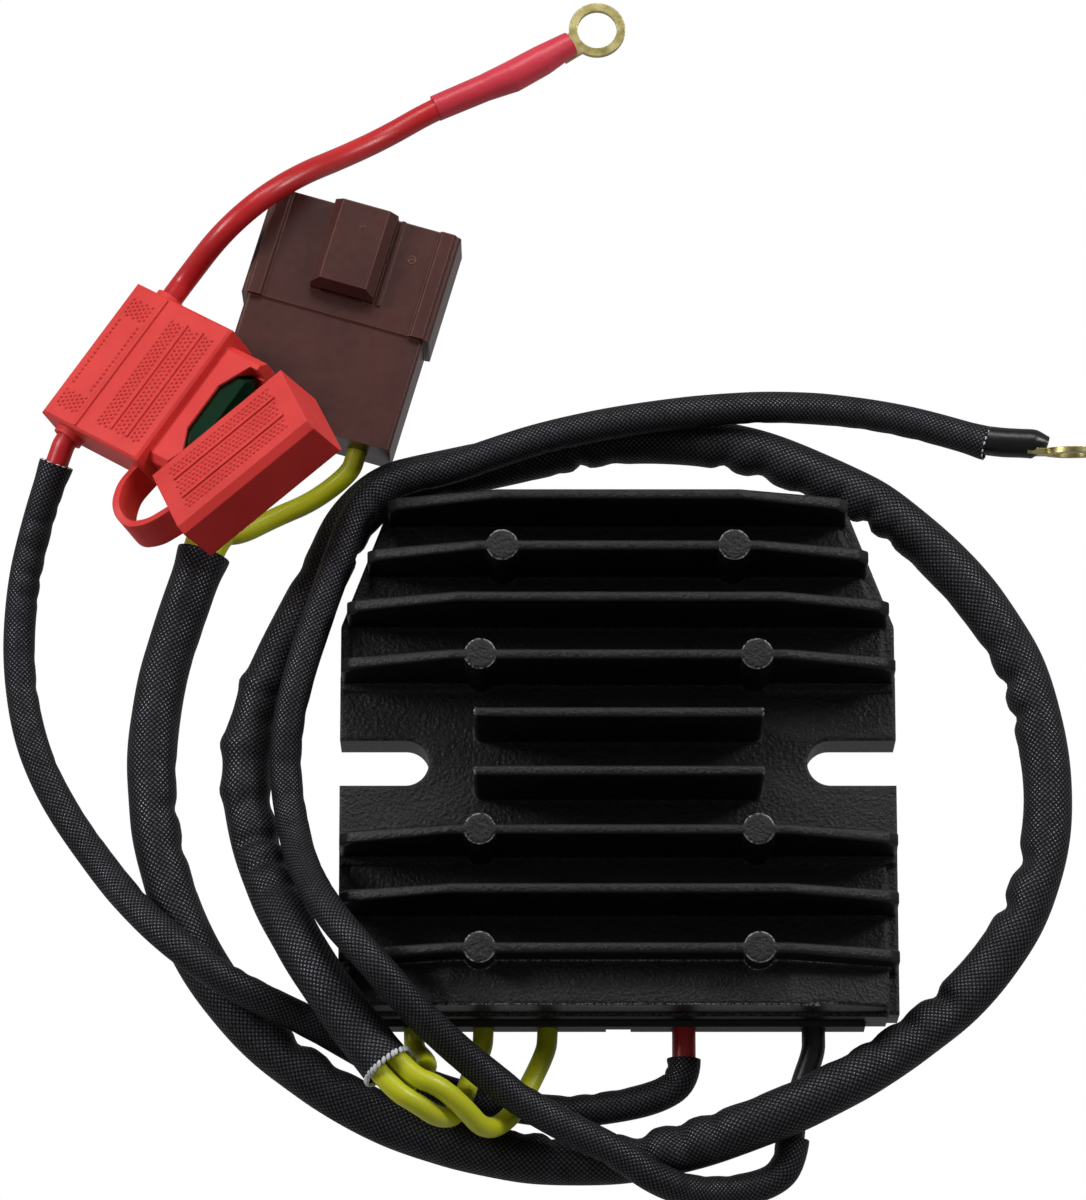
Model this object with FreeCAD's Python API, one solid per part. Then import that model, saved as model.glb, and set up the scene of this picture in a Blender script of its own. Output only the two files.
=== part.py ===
import FreeCAD, Part
import math
import os

os.makedirs("parts", exist_ok=True)
V = FreeCAD.Vector

# Finned housing. X runs along the fins, Y across them, Z up from the mounting face.
housing_w = 95.0
housing_l = 90.0
base_t = 9.0
base_ledge = 2.0
base_step = 1.0
corner_drop = 20.8
corner_inset = 7.9
corner_r = 2.5
fin_top = 25.0
fin_t = 1.7
fin_root_t = 2.9
fin_round = 0.45
first_fin_y = 9.65
last_fin_gap = 1.75
end_pitch_share = 0.891
fin_edge_gap = 0.3
fin_slope_run = 18.7
fin_slope_drop = 6.8
fin_nose = 1.5
land_h = 0.6
short_fin_l = 49.0
boss_d = 5.35
boss_x_inner = 19.7
boss_x_outer = 23.4
strip_top = 19.3
strip_slope_drop = 5.0
strip_inset = 2.0
strip_edge_h = 1.5
wall_step = 0.6
slot_w = 8.0
slot_spacing = 72.6

# Sealed pocket in the mounting face, with what is potted in it
pocket_t = 2.0
pocket_wide = 80.0
pocket_neck = 56.0
pocket_top_w = 70.0
pocket_end_wall = 6.0
pocket_neck_half = 13.0
potting_recess = 0.5
guide_w = 83.6
guide_h = 4.7
guide_lift = 0.3
guide_proud = 1.0
guide_t = 3.5
notch_w = 4.2
notch_h = 2.4
wire_clear = 0.1
pad_t = 0.3
device_w = 10.2
device_l = 9.0
device_t = 3.0
device_pitch_x = 17.0
device_pitch_y = 30.0
board_t = 1.6
board_margin = 2.0
capacitor_size = V(12.0, 6.5, 3.0)
chip_size = V(6.0, 5.0, 1.2)

# Wires and their braided sleeves
stator_wire_d = 3.5
battery_wire_d = 4.0
stator_sleeve_d = 8.5
thin_sleeve_d = 5.5
wire_exit_z = 2.75
wire_x = {"stator_1": -34.7, "stator_2": -22.9, "stator_3": -12.0, "positive": 11.1, "ground": 33.1}
bundle_gap = 0.2
lead_l = 4.0
mouth_turns = (270, 30, 150)
plug_end_turns = (150, 270, 30)

# Three-way connector, lying on its back beside the housing
plug_place = V(-54.7, 59.3, 0.0)
plug_turn = -16.3
body_w = 32.0
body_l = 20.6
body_t = 11.4
collar_w = 34.0
collar_l = 19.8
collar_t = 11.8
rail_w = 2.9
rail_h = 0.8
latch_w = 11.4
latch_l = 16.0
latch_h = 4.0
latch_side_bevel = 1.5
latch_end_run = 1.2
latch_end_drop = 2.3
tunnel_w = 7.6
tunnel_h = 1.3
rib_w = 0.7
rib_h = 0.5
rib_gap = 1.0
shell_round = 0.8
socket_round = 1.0
overlap = 0.5
socket_w = 30.0
socket_h = 8.6
socket_depth = 16.0
socket_floor = 1.6
tab_w = 6.3
tab_t = 0.8
tab_z = 5.1
tab_pitch = 10.0
tab_show = 9.0
wire_hole_depth = 4.0

# Blade-fuse holder: body, strap and cap are one soft moulding
holder_place = V(-96.6, 60.05, 3.1)
holder_turn = -34.8
holder_tilt = 27.2
holder_w = 23.6
holder_l = 28.5
holder_t = 8.4
holder_edge = 0.5
spigot_l = 8.4
spigot_drop = 1.8
spigot_end_gap = 1.9
spigot_floor = 0.3
spigot_bevel = 1.2
window_l = 4.9
window_half = 4.6
window_flare = 3.2
window_mouth_half = 10.2
port_x = 5.0
port_d = 5.4
port_l = 1.2
port_run = 8.0
wire_seat = 2.0
end_run = 2.4
port_gap = 0.8
ridge_x = 8.1
ridge_w = 0.6
ridge_h = 0.35
panel_rib_x = (15.1, 18.9)
panel_rib_l = 22.6
cap_corner = V(-79.6, 47.7, 20.6)
cap_x = V(5.2, -11.7, 7.1)
cap_y = V(22.1, 15.8, 9.8)
cap_w = 14.9
cap_l = 29.0
cap_t = 10.5
cap_wall = 1.5
cap_bevel = 1.3
cap_clear = 0.3
cap_rib_x = (4.2, 8.9)
strap_t = 1.3
strap_w = 5.6
strap_lean = V(-0.5, 0.45, 0.74)
fuse_w = 19.0
fuse_t = 4.6
fuse_h = 11.5
fuse_top_gap = 1.2
fuse_clear = 0.3
fuse_chamfer = 1.9
blade_w = 5.2
blade_t = 0.7
blade_l = 7.5
blade_gap = 4.2
link_l = 1.5
link_seat = 1.0
clip_wall = 0.8

# Ring terminals and heat-shrink
ring_od = 10.0
ring_id = 7.0
ring_t = 1.0
tongue_w = 4.4
barrel_d = 4.2
barrel_l = 6.0
tongue_l = 2.0

# Routes, chosen by hand: the points that each cord's straight runs join, from the housing outwards
stator_sleeve_route = [
    (-38.7, -53.5, 16.0), (-43.9, -48.0, 20.0), (-49.2, -40.9, 20.5), (-54.2, -32.3, 16.0),
    (-58.8, -22.4, 8.5), (-62.4, -11.6, 4.5), (-64.1, -1.5, 4.25), (-62.8, 8.4, 4.25),
    (-59.5, 17.2, 4.25), (-54.9, 26.3, 4.25), (-50.6, 34.6, 4.25), (-46.7, 43.6, 4.25),
    (-40.7, 50.0, 4.25), (-31.8, 52.4, 4.25), (-22.8, 54.2, 4.25), (-13.8, 56.2, 4.25),
    (-4.5, 58.2, 4.25), (5.5, 59.2, 4.25), (15.4, 58.5, 4.25), (25.3, 56.2, 4.25),
    (36.3, 51.8, 4.25), (47.9, 45.3, 4.25), (58.5, 35.4, 4.25), (66.9, 24.0, 4.25),
    (72.1, 11.0, 4.25), (74.1, -3.6, 4.25), (72.6, -16.8, 4.25), (67.4, -29.0, 4.25),
    (58.9, -39.9, 4.25), (47.6, -49.2, 6.0), (36.3, -56.5, 9.3), (24.5, -61.9, 9.3),
    (13.6, -65.1, 6.0), (2.7, -67.4, 4.25), (-9.9, -68.0, 4.25), (-23.4, -66.3, 4.25),
    (-36.9, -62.1, 4.25), (-49.7, -55.4, 4.25), (-61.1, -46.6, 4.25), (-70.3, -35.4, 4.25),
    (-76.1, -22.9, 4.25), (-79.2, -10.7, 4.25), (-80.2, 2.5, 4.25), (-78.7, 14.9, 4.25),
    (-75.4, 26.5, 4.25), (-71.6, 38.3, 4.25),
]
ground_sleeve_route = [
    (29.4, -63.9, 2.75), (28.9, -68.4, 2.75), (25.2, -71.6, 2.75), (19.2, -72.9, 2.75),
    (12.5, -73.4, 5.2), (6.0, -72.0, 10.4), (-0.3, -67.8, 12.6), (-8.3, -64.0, 13.4),
    (-16.3, -59.5, 13.6), (-23.7, -54.0, 16.0), (-30.3, -49.3, 21.5), (-36.2, -44.1, 27.0),
    (-42.4, -37.2, 29.0), (-48.6, -29.5, 25.0), (-53.3, -19.8, 15.5), (-55.7, -10.1, 9.0),
    (-56.9, -1.7, 8.6), (-56.4, 6.6, 10.8), (-54.4, 15.4, 11.9), (-51.4, 24.8, 11.9),
    (-48.2, 34.4, 11.9), (-44.8, 44.4, 11.9), (-38.4, 49.4, 11.9), (-29.6, 51.2, 11.9),
    (-21.4, 54.2, 11.9), (-12.4, 57.2, 11.9), (-0.9, 59.7, 11.9), (10.9, 61.5, 11.8),
    (22.2, 63.1, 10.0), (32.8, 64.2, 6.0), (42.5, 64.1, 3.2), (51.2, 62.6, 2.9),
    (58.1, 60.3, 3.8), (64.4, 58.1, 4.8),
]
positive_sleeve_route = [
    (11.1, -50.2, 2.75), (11.1, -53.9, 2.75), (6.6, -56.8, 2.75), (-1.1, -58.5, 2.75),
    (-9.9, -59.4, 2.75), (-19.2, -58.1, 2.75), (-27.7, -56.4, 2.75), (-35.3, -53.4, 2.75),
    (-43.5, -49.0, 3.8), (-51.9, -44.8, 7.4), (-60.2, -41.6, 11.4), (-67.8, -37.6, 12.6),
    (-75.5, -31.8, 12.4), (-82.6, -24.5, 8.4), (-88.5, -16.6, 3.6), (-94.5, -8.0, 2.75),
    (-99.5, 1.1, 2.75), (-102.5, 11.7, 2.75), (-103.4, 22.4, 2.75), (-102.8, 33.0, 2.75),
    (-101.0, 41.6, 4.0), (-98.7, 48.9, 6.6), (-97.0, 53.4, 8.0),
]
ground_wire_route = [(33.1, -41.5, 2.75), (33.1, -49.0, 2.75), (31.0, -54.6, 2.5), (29.9, -59.4, 2.75)]
stator_wire_routes = [
    [(-34.7, -41.5, 2.75), (-34.7, -47.8, 2.75), (-34.0, -50.6, 7.2), (-30.8, -54.0, 9.6),
     (-27.2, -58.2, 10.4), (-30.0, -61.6, 11.6)],
    [(-22.9, -41.5, 2.75), (-22.9, -49.0, 2.75), (-22.5, -54.2, 7.4), (-22.2, -60.4, 9.4),
     (-24.4, -65.2, 11.4), (-29.4, -65.3, 13.2), (-34.4, -60.7, 16.0)],
    [(-12.0, -41.5, 2.75), (-12.0, -49.4, 2.75), (-12.8, -55.4, 7.2), (-14.8, -61.6, 9.0),
     (-19.0, -66.4, 12.0), (-24.2, -63.9, 15.4), (-30.2, -58.6, 17.0)],
]
plug_wire_routes = [
    [(-72.0, 46.4, 3.2), (-69.0, 52.2, 3.8)],
    [(-67.2, 46.6, 1.9), (-61.4, 50.6, 3.4)],
    [(-65.4, 41.8, 3.6), (-59.3, 45.4, 2.4), (-52.6, 48.2, 2.8)],
]
battery_wire_route = [
    (-68.6, 92.6, 16.6), (-61.6, 98.6, 18.0), (-54.8, 104.2, 14.5),
    (-48.1, 109.4, 8.0), (-40.4, 114.8, 3.6), (-31.8, 120.4, 2.75),
]
battery_shrink_stations = [
    ((-31.8, 120.4, 2.75), 2.35), ((-23.1, 124.3, 2.75), 2.45), ((-18.3, 126.3, 2.9), 2.85),
    ((-13.0, 129.4, 2.8), 2.75), ((-7.9, 132.7, 2.5), 2.2),
]
battery_ring_place = V(-3.2, 135.9, 0.0)
ground_shrink_stations = [((64.4, 58.1, 4.8), 2.75), ((68.6, 57.9, 5.1), 2.75), ((73.2, 57.9, 5.1), 2.4)]
ground_ring_place = V(79.2, 55.9, 5.1)
ground_ring_up = V(0.0, 0.98, 0.17)
strap_route = [
    (-78.9, 51.6, 15.5), (-81.1, 49.5, 15.0), (-83.9, 46.2, 15.0), (-84.7, 42.7, 15.8), (-84.1, 40.1, 16.6),
    (-82.3, 38.0, 17.6), (-79.0, 38.1, 19.0), (-75.2, 40.0, 20.6), (-73.6, 40.6, 21.2),
]


def box(x0, x1, y0, y1, z0, z1):
    return Part.makeBox(x1 - x0, y1 - y0, z1 - z0, V(x0, y0, z0))


def centred(w, l, t, at):
    """A block of width, length and height, centred on a point in X and Y and standing on it."""
    return Part.makeBox(w, l, t, V(at[0] - w / 2, at[1] - l / 2, at[2]))


def prism(outline, direction):
    """The straight prism over a closed outline of points."""
    return Part.Face(Part.makePolygon(outline + outline[:1])).extrude(direction)


def fused(first, others):
    return first.multiFuse(others).removeSplitter()


def save(name, shape):
    shape.exportStep("parts/" + name + ".step")
    print(name, len(shape.Solids), "solids", round(shape.Volume), "mm3")


def frame_at(origin, x_axis, y_axis):
    """The placement whose X and Y axes point as given, with its origin at a point."""
    x = V(x_axis).normalize()
    z = x.cross(V(y_axis)).normalize()
    y = z.cross(x)
    m = FreeCAD.Matrix(x.x, y.x, z.x, origin.x, x.y, y.y, z.y, origin.y, x.z, y.z, z.z, origin.z, 0, 0, 0, 1)
    return FreeCAD.Placement(m)


def placed(shape, placement):
    out = shape.copy()
    out.Placement = placement.multiply(out.Placement)
    return out


def route_edges(route):
    """Straight runs joined by tangent arcs, the length of the whole and its tightest radius."""
    points = [V(*p) for p in route]
    edges, length, tightest = [], 0.0, 1e9
    start = points[0]
    for before, at, after in zip(points, points[1:], points[2:]):
        into = (at - before).normalize()
        out = (after - at).normalize()
        half = into.getAngle(out) / 2
        reach = 0.45 * min((at - before).Length, (after - at).Length)
        radius = reach / math.tan(half)
        first, last = at - into * reach, at + out * reach
        middle = at + (out - into).normalize() * (radius / math.cos(half) - radius)
        edges.append(Part.LineSegment(start, first).toShape())
        edges.append(Part.Arc(first, middle, last).toShape())
        start = last
        tightest = min(tightest, radius)
    edges.append(Part.LineSegment(start, points[-1]).toShape())
    return edges, sum(e.Length for e in edges), tightest


cords = {}


def tube(name, route, diameter):
    """A round cord along a route."""
    cords[name] = (route, diameter)
    edges, length, tightest = route_edges(route)
    heading = V(*route[1]) - V(*route[0])
    section = Part.Wire(Part.makeCircle(diameter / 2, V(*route[0]), heading))
    solid = Part.Wire(edges).makePipeShell([section], True, False)
    share = solid.Volume / (math.pi * diameter**2 / 4 * length)
    print("cord", name, "length", round(length, 1), "tightest", round(tightest, 1),
          "diameters", round(tightest / diameter, 2), "volume share", round(share, 4))
    return solid


# Housing: the base plate's outline, with its two far corners cut off at a slant
half_w = housing_w / 2
half_l = housing_l / 2
wire_face = -half_l + guide_proud
slant_y = half_l - corner_drop
fin_pitch = (housing_l - first_fin_y - last_fin_gap) / (6 + 2 * end_pitch_share)


def outline(inset, z):
    """The base plate's outline, moved inwards, at a height."""
    w = half_w - inset
    top = half_l - inset
    bottom = wire_face + wall_step
    return [V(-w, bottom, z), V(w, bottom, z), V(w, slant_y, z), V(w - corner_inset, top, z),
            V(-w + corner_inset, top, z), V(-w, slant_y, z)]


def half_width_at(y):
    """Half the base plate's width at a place across the fins."""
    beyond = max(0.0, y - slant_y)
    return half_w - corner_inset * beyond / corner_drop


def edges_along(shape, axis, keep=lambda edge: True):
    """The edges of a shape that run along an axis, and that a test keeps."""
    found = []
    for edge in shape.Edges:
        if abs(edge.tangentAt(edge.FirstParameter).dot(axis)) > 0.9 and keep(edge):
            found.append(edge)
    return found


def ridge(y, half, top, root_t, drop):
    """A cast rib along X with drafted walls and rounded edges, whose ends slope down when it has a drop."""
    low = base_t - base_step
    section = [V(-half, y - root_t / 2, low), V(-half, y + root_t / 2, low),
               V(-half, y + fin_t / 2, top), V(-half, y - fin_t / 2, top)]
    bar = prism(section, V(2 * half, 0, 0))
    nose_top = top - drop * (1 - fin_nose / fin_slope_run)
    side = [(half, low), (half, top - drop - fin_nose), (half - fin_nose, nose_top)]
    if drop:
        side.append((half - fin_slope_run, top))
    side += [(-x, z) for x, z in side[::-1]]
    bar = bar.common(prism([V(x, y - root_t, z) for x, z in side], V(0, 2 * root_t, 0)))
    round_edges = [e for e in bar.Edges if abs(e.tangentAt(0).y) < 0.5 and e.CenterOfMass.z > low + fin_round]
    return bar.makeFillet(fin_round, round_edges)


fin_rows = [first_fin_y - half_l + i * fin_pitch for i in range(7)]
fin_rows += [fin_rows[-1] + i * end_pitch_share * fin_pitch for i in (1, 2)]
short_rows = fin_rows[3:5]
bay_low, bay_high = fin_rows[2], fin_rows[5]
slot_y = (bay_low + bay_high) / 2


def plate(inset, height):
    """A layer of the base plate, with its four far corners rounded."""
    solid = prism(outline(inset, 0), V(0, 0, height))
    return solid.makeFillet(corner_r, edges_along(solid, V(0, 0, 1), lambda e: e.CenterOfMass.y > 0))


base = plate(0, base_t - base_step)
upper = plate(base_ledge, base_t)
flange = box(-half_w, half_w, bay_low, bay_high, 0, base_t)
parts = [upper, flange]
for y in fin_rows:
    half = half_width_at(y + fin_root_t / 2) - fin_edge_gap
    if y in short_rows:
        short = ridge(y, half, fin_top, fin_root_t, 0.0)
        reach = short_fin_l / 2 - fin_root_t / 2
        plan = box(-reach, reach, y - fin_root_t, y + fin_root_t, 0, fin_top)
        ends = [Part.makeCylinder(fin_root_t / 2, fin_top, V(s * reach, y, 0)) for s in (-1, 1)]
        parts.append(short.common(plan.fuse(ends[0]).fuse(ends[1])))
    else:
        parts.append(ridge(y, half, fin_top, fin_root_t, fin_slope_drop))
boss_rows = [(fin_rows[i], boss_x_outer) for i in (0, 2, 5)] + [(fin_rows[7], boss_x_inner)]
for y, x in boss_rows:
    for side in (-1, 1):
        foot = V(side * x, y, base_t - base_step)
        parts.append(Part.makeCylinder(boss_d / 2, fin_top - foot.z, foot))

# A low land along the two fins beside the slots, from the plate's edge to the boss
land_end = half_w - fin_edge_gap
for y in (bay_low, bay_high):
    for side in (-1, 1):
        foot = (side * (land_end + boss_x_outer) / 2, y, base_t - base_step)
        parts.append(centred(land_end - boss_x_outer, boss_d, base_step + land_h, foot))

# The wire side's raised strip, which slopes down at both ends like the fins
strip_half = half_w - strip_inset
strip_kink = half_w - fin_edge_gap - fin_slope_run
strip_side = [V(-strip_half, wire_face, 0), V(strip_half, wire_face, 0),
              V(strip_half, wire_face, strip_top - strip_slope_drop), V(strip_kink, wire_face, strip_top),
              V(-strip_kink, wire_face, strip_top), V(-strip_half, wire_face, strip_top - strip_slope_drop)]
parts.append(prism(strip_side, V(0, fin_rows[0] - wire_face, 0)))
housing = fused(base, parts)
wall_cut = box(-half_w, half_w, wire_face - 1, wire_face + wall_step, base_t, strip_top - strip_edge_h)
housing = housing.cut(wall_cut)

# Two open slots, through which the housing is bolted down
for side in (-1, 1):
    eye_x = slot_spacing / 2
    eye = Part.makeCylinder(slot_w / 2, base_t + 2, V(side * eye_x, slot_y, -1))
    mouth = centred(half_w + 1 - eye_x, slot_w, base_t + 2, (side * (half_w + 1 + eye_x) / 2, slot_y, -1))
    housing = housing.cut(eye.fuse(mouth))

# Pocket in the mounting face, narrow between the slots
pocket_z = base_t - pocket_t
inner_face = -half_l + guide_t
pocket_end = half_l - pocket_end_wall


def pocket(z0, z1):
    """The pocket's space between two heights."""
    wide = box(-pocket_wide / 2, pocket_wide / 2, inner_face, slot_y - pocket_neck_half, z0, z1)
    neck = box(-pocket_neck / 2, pocket_neck / 2, inner_face, pocket_end, z0, z1)
    top = box(-pocket_top_w / 2, pocket_top_w / 2, slot_y + pocket_neck_half, pocket_end, z0, z1)
    return wide.fuse(neck).fuse(top).removeSplitter()


housing = housing.cut(pocket(-1, pocket_z))
guide_x0 = -guide_w / 2
guide_box = box(guide_x0, -guide_x0, -half_l, inner_face, guide_lift, guide_lift + guide_h)
housing = housing.cut(box(guide_x0, -guide_x0, -half_l - 1, inner_face, -1, guide_lift + guide_h))
save("heatsink_housing", housing)

# Wire guide: the strip that closes the pocket on the wire side and holds the five wires
guide = guide_box.cut(box(-notch_w / 2, notch_w / 2, -half_l - 1, wire_face + wall_step, 0, notch_h))
for name, x in wire_x.items():
    wire_r = (stator_wire_d if "stator" in name else battery_wire_d) / 2
    hole = Part.makeCylinder(wire_r + wire_clear, 2 * guide_t, V(x, -half_l - 1, wire_exit_z), V(0, 1, 0))
    guide = guide.cut(hole)
save("wire_guide", guide)

# Circuit in the pocket, from the heat-spreading pad down to the board, all sealed in potting
pad_z = pocket_z - pad_t
device_z = pad_z - device_t
board_z = device_z - board_t
pad = centred(2 * device_pitch_x + device_w, device_pitch_y + device_l, pad_t, (0, slot_y, pad_z))
save("thermal_pad", pad)
inner = [pad]
for row in (0, 1):
    for column in (-1, 0, 1):
        at = (column * device_pitch_x, slot_y + (row - 0.5) * device_pitch_y, device_z)
        device = centred(device_w, device_l, device_t, at)
        save("power_device_" + str(3 * row + column + 2), device)
        inner.append(device)
board_x = pocket_neck / 2 - board_margin
board = box(-board_x, board_x, inner_face + 2 * board_margin, pocket_end - board_margin, board_z, device_z)
save("circuit_board", board)
capacitor = centred(*capacitor_size, (0, slot_y, device_z))
save("smoothing_capacitor", capacitor)
chip = centred(*chip_size, (-device_pitch_x, slot_y, board_z - chip_size.z))
save("control_chip", chip)
potting = pocket(potting_recess, pocket_z)
for piece in inner + [board, capacitor, chip]:
    potting = potting.cut(piece)
save("potting_compound", potting)

# Stator lead: three yellow wires, sleeved together from beside the housing to the connector
sleeve_r = stator_sleeve_d / 2
bundle_r = (stator_wire_d + bundle_gap) / math.sqrt(3)


def bundle_point(route, turn):
    """Where one of the sleeve's three wires meets its end, and the way in."""
    at, inwards = V(*route[0]), (V(*route[1]) - V(*route[0])).normalize()
    across = V(0, 0, 1).cross(inwards).normalize()
    up = inwards.cross(across)
    angle = math.radians(turn)
    return at + across * (bundle_r * math.cos(angle)) + up * (bundle_r * math.sin(angle)), inwards


save("stator_sleeve", tube("stator_sleeve", stator_sleeve_route, stator_sleeve_d))
for i, route in enumerate(stator_wire_routes):
    end, inwards = bundle_point(stator_sleeve_route, mouth_turns[i])
    lead = end - inwards * lead_l
    full = route + [tuple(lead), tuple(end)]
    save("stator_wire_" + str(i + 1), tube("stator_wire_" + str(i + 1), full, stator_wire_d))

# Connector body, in its own frame: X across, Y from the wires to the mating end, Z up
plug_frame = FreeCAD.Placement(plug_place, FreeCAD.Rotation(V(0, 0, 1), plug_turn))
plug_l = body_l + collar_l
along_y = V(0, 1, 0)
body = box(-body_w / 2, body_w / 2, 0, body_l + overlap, 0, body_t)
body = body.makeFillet(shell_round, edges_along(body, along_y))
collar = box(-collar_w / 2, collar_w / 2, body_l, plug_l, 0, collar_t)
collar = collar.makeFillet(shell_round, edges_along(collar, along_y))


def above_collar(edge):
    return edge.CenterOfMass.z > collar_t


rail_mid = collar_w / 2 - shell_round - rail_w / 2
collar_mid = (body_l + plug_l) / 2
rails = []
for side in (-1, 1):
    rail = centred(rail_w, collar_l, overlap + rail_h, (side * rail_mid, collar_mid, collar_t - overlap))
    rails.append(rail.makeChamfer(rail_h / 2, edges_along(rail, along_y, above_collar)))
latch_y0 = plug_l - latch_l
latch_top = collar_t + latch_h
latch = box(-latch_w / 2, latch_w / 2, latch_y0, plug_l, collar_t - overlap, latch_top)
latch = latch.makeChamfer(latch_side_bevel, edges_along(latch, along_y, above_collar))
slant = [V(-latch_w, latch_y0 - 1, latch_top + 1), V(-latch_w, latch_y0 + latch_end_run, latch_top + 1),
         V(-latch_w, latch_y0 + latch_end_run, latch_top), V(-latch_w, latch_y0, latch_top - latch_end_drop),
         V(-latch_w, latch_y0 - 1, latch_top - latch_end_drop)]
latch = latch.cut(prism(slant, V(2 * latch_w, 0, 0)))
tunnel = box(-tunnel_w / 2, tunnel_w / 2, latch_y0 - 1, plug_l + 1, collar_t, collar_t + tunnel_h)
rib_x = latch_w / 2 + rib_gap
rib = centred(rib_w, latch_l, overlap + rib_h, (rib_x, latch_y0 + latch_l / 2, collar_t - overlap))
shell = fused(body, [collar] + rails + [latch, rib]).cut(tunnel)
socket_y = plug_l - socket_depth
socket = box(-socket_w / 2, socket_w / 2, socket_y, plug_l + 1, socket_floor, socket_floor + socket_h)
shell = shell.cut(socket.makeFillet(socket_round, edges_along(socket, along_y)))
plug_wire_ends = []
for i in range(3):
    x = (i - 1) * tab_pitch
    tab_l = socket_y + tab_show - wire_hole_depth
    tab = centred(tab_w, tab_l, tab_t, (x, wire_hole_depth + tab_l / 2, tab_z - tab_t / 2))
    hole = Part.makeCylinder(stator_wire_d / 2 + wire_clear, wire_hole_depth + 1, V(x, -1, tab_z), along_y)
    shell = shell.cut(tab).cut(hole)
    save("connector_terminal_" + str(i + 1), placed(tab, plug_frame))
    plug_wire_ends.append((V(x, -lead_l, tab_z), V(x, wire_hole_depth, tab_z)))
save("stator_connector", placed(shell, plug_frame))
for i, route in enumerate(plug_wire_routes):
    start, inwards = bundle_point(stator_sleeve_route[::-1], plug_end_turns[i])
    near, seat = [plug_frame.multVec(p) for p in plug_wire_ends[i]]
    full = [tuple(start), tuple(start - inwards * lead_l)] + route + [tuple(near), tuple(seat)]
    save("plug_wire_" + str(i + 1), tube("plug_wire_" + str(i + 1), full, stator_wire_d))

# Positive lead: red wire into a thin sleeve, which ends at the fuse holder
save("positive_sleeve", tube("positive_sleeve", positive_sleeve_route, thin_sleeve_d))
stub_start = V(wire_x["positive"], inner_face, wire_exit_z)
stub = V(*positive_sleeve_route[0]) - stub_start
save("positive_wire", Part.makeCylinder(battery_wire_d / 2, stub.Length, stub_start, stub))

# Fuse holder body in its own frame: X towards the mouth, Y along the wires, Z up through it
turned = FreeCAD.Rotation(V(0, 0, 1), holder_turn).multiply(FreeCAD.Rotation(along_y, -holder_tilt))
holder_frame = FreeCAD.Placement(holder_place, turned)
holder = box(0, holder_w, 0, holder_l, 0, holder_t)
holder = holder.makeChamfer(holder_edge, [e for e in holder.Edges if e.CenterOfMass.z > holder_t / 2])
mouth_x = holder_w + spigot_l
middle_y = holder_l / 2
spigot_top = holder_t - spigot_drop
spigot = box(holder_w - 1, mouth_x, spigot_end_gap, holder_l - spigot_end_gap, spigot_floor, spigot_top)
spigot = spigot.makeChamfer(spigot_bevel, edges_along(spigot, V(1, 0, 0)))
port_z = holder_t / 2
ports = []
for y in (-port_l, holder_l - 1):
    ports.append(Part.makeCylinder(port_d / 2, port_l + 1, V(port_x, y, port_z), along_y))


def rib_on(x, y, length, z):
    """A low rib along Y on a face at a height."""
    return centred(ridge_w, length, overlap + ridge_h, (x, y, z - overlap))


ridges = [rib_on(ridge_x, middle_y, holder_l - 2 * holder_edge, holder_t)]
ridges += [rib_on(x, middle_y, panel_rib_l, holder_t) for x in panel_rib_x]
holder = fused(holder, [spigot] + ports + ridges)

# Space for the fuse, its two clips and the wires' ends
fuse_mid_z = (spigot_floor + spigot_top) / 2
fuse_top_x = mouth_x - fuse_top_gap


def octagon(x0, x1, w, t, cut):
    """A block along X with a section of width and thickness whose corners are cut off."""
    y0, z0 = middle_y - w / 2, fuse_mid_z - t / 2
    points = [(0, cut), (0, t - cut), (cut, t), (w - cut, t), (w, t - cut), (w, cut), (w - cut, 0), (cut, 0)]
    return prism([V(x0, y0 + a, z0 + b) for a, b in points], V(x1 - x0, 0, 0))


fuse_x0 = fuse_top_x - fuse_h
cavity = octagon(fuse_x0, mouth_x + 1, fuse_w + 2 * fuse_clear, fuse_t + 2 * fuse_clear, fuse_chamfer)
holder = holder.cut(cavity)

# The window in the mouth's upper wall, where the fuse is gripped
window = [(mouth_x - window_l, window_half), (mouth_x - window_l + window_flare, window_mouth_half),
          (mouth_x + 1, window_mouth_half)]
window += [(x, -y) for x, y in window[::-1]]
window = prism([V(x, middle_y + y, fuse_mid_z) for x, y in window], V(0, 0, holder_t))
holder = holder.cut(window)
blades = []
clips = []
for side in (-1, 1):
    y = middle_y + side * (blade_gap / 2 + blade_w / 2)
    blade_mid_x = fuse_x0 + fuse_h / 4 - blade_l / 2
    blades.append(centred(fuse_h / 2 + blade_l, blade_w, blade_t, (blade_mid_x, y, fuse_mid_z - blade_t / 2)))
    clip_t = blade_t + 2 * clip_wall
    clip_at = (fuse_x0 - blade_l / 2, y, fuse_mid_z - clip_t / 2)
    clips.append(centred(blade_l, blade_w + 2 * clip_wall, clip_t, clip_at))
link_at = (fuse_x0 + fuse_h / 2 - link_l / 2, middle_y, fuse_mid_z - blade_t / 4)
link = centred(link_l, blade_gap + 2 * link_seat, blade_t / 2, link_at)
element = fused(blades[0], [blades[1], link])
fuse_body = octagon(fuse_x0, fuse_top_x, fuse_w, fuse_t, fuse_chamfer).cut(element)
for i, clip in enumerate(clips):
    holder = holder.cut(clip)
    save("fuse_clip_" + str(i + 1), placed(clip.cut(element), holder_frame))
save("fuse_element", placed(element, holder_frame))
save("fuse_body", placed(fuse_body, holder_frame))
bore_l = port_l + 1 + wire_seat
for y in (-port_l - 1, holder_l - wire_seat):
    bore = Part.makeCylinder(battery_wire_d / 2 + wire_clear, bore_l, V(port_x, y, port_z), along_y)
    holder = holder.cut(bore)

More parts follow.
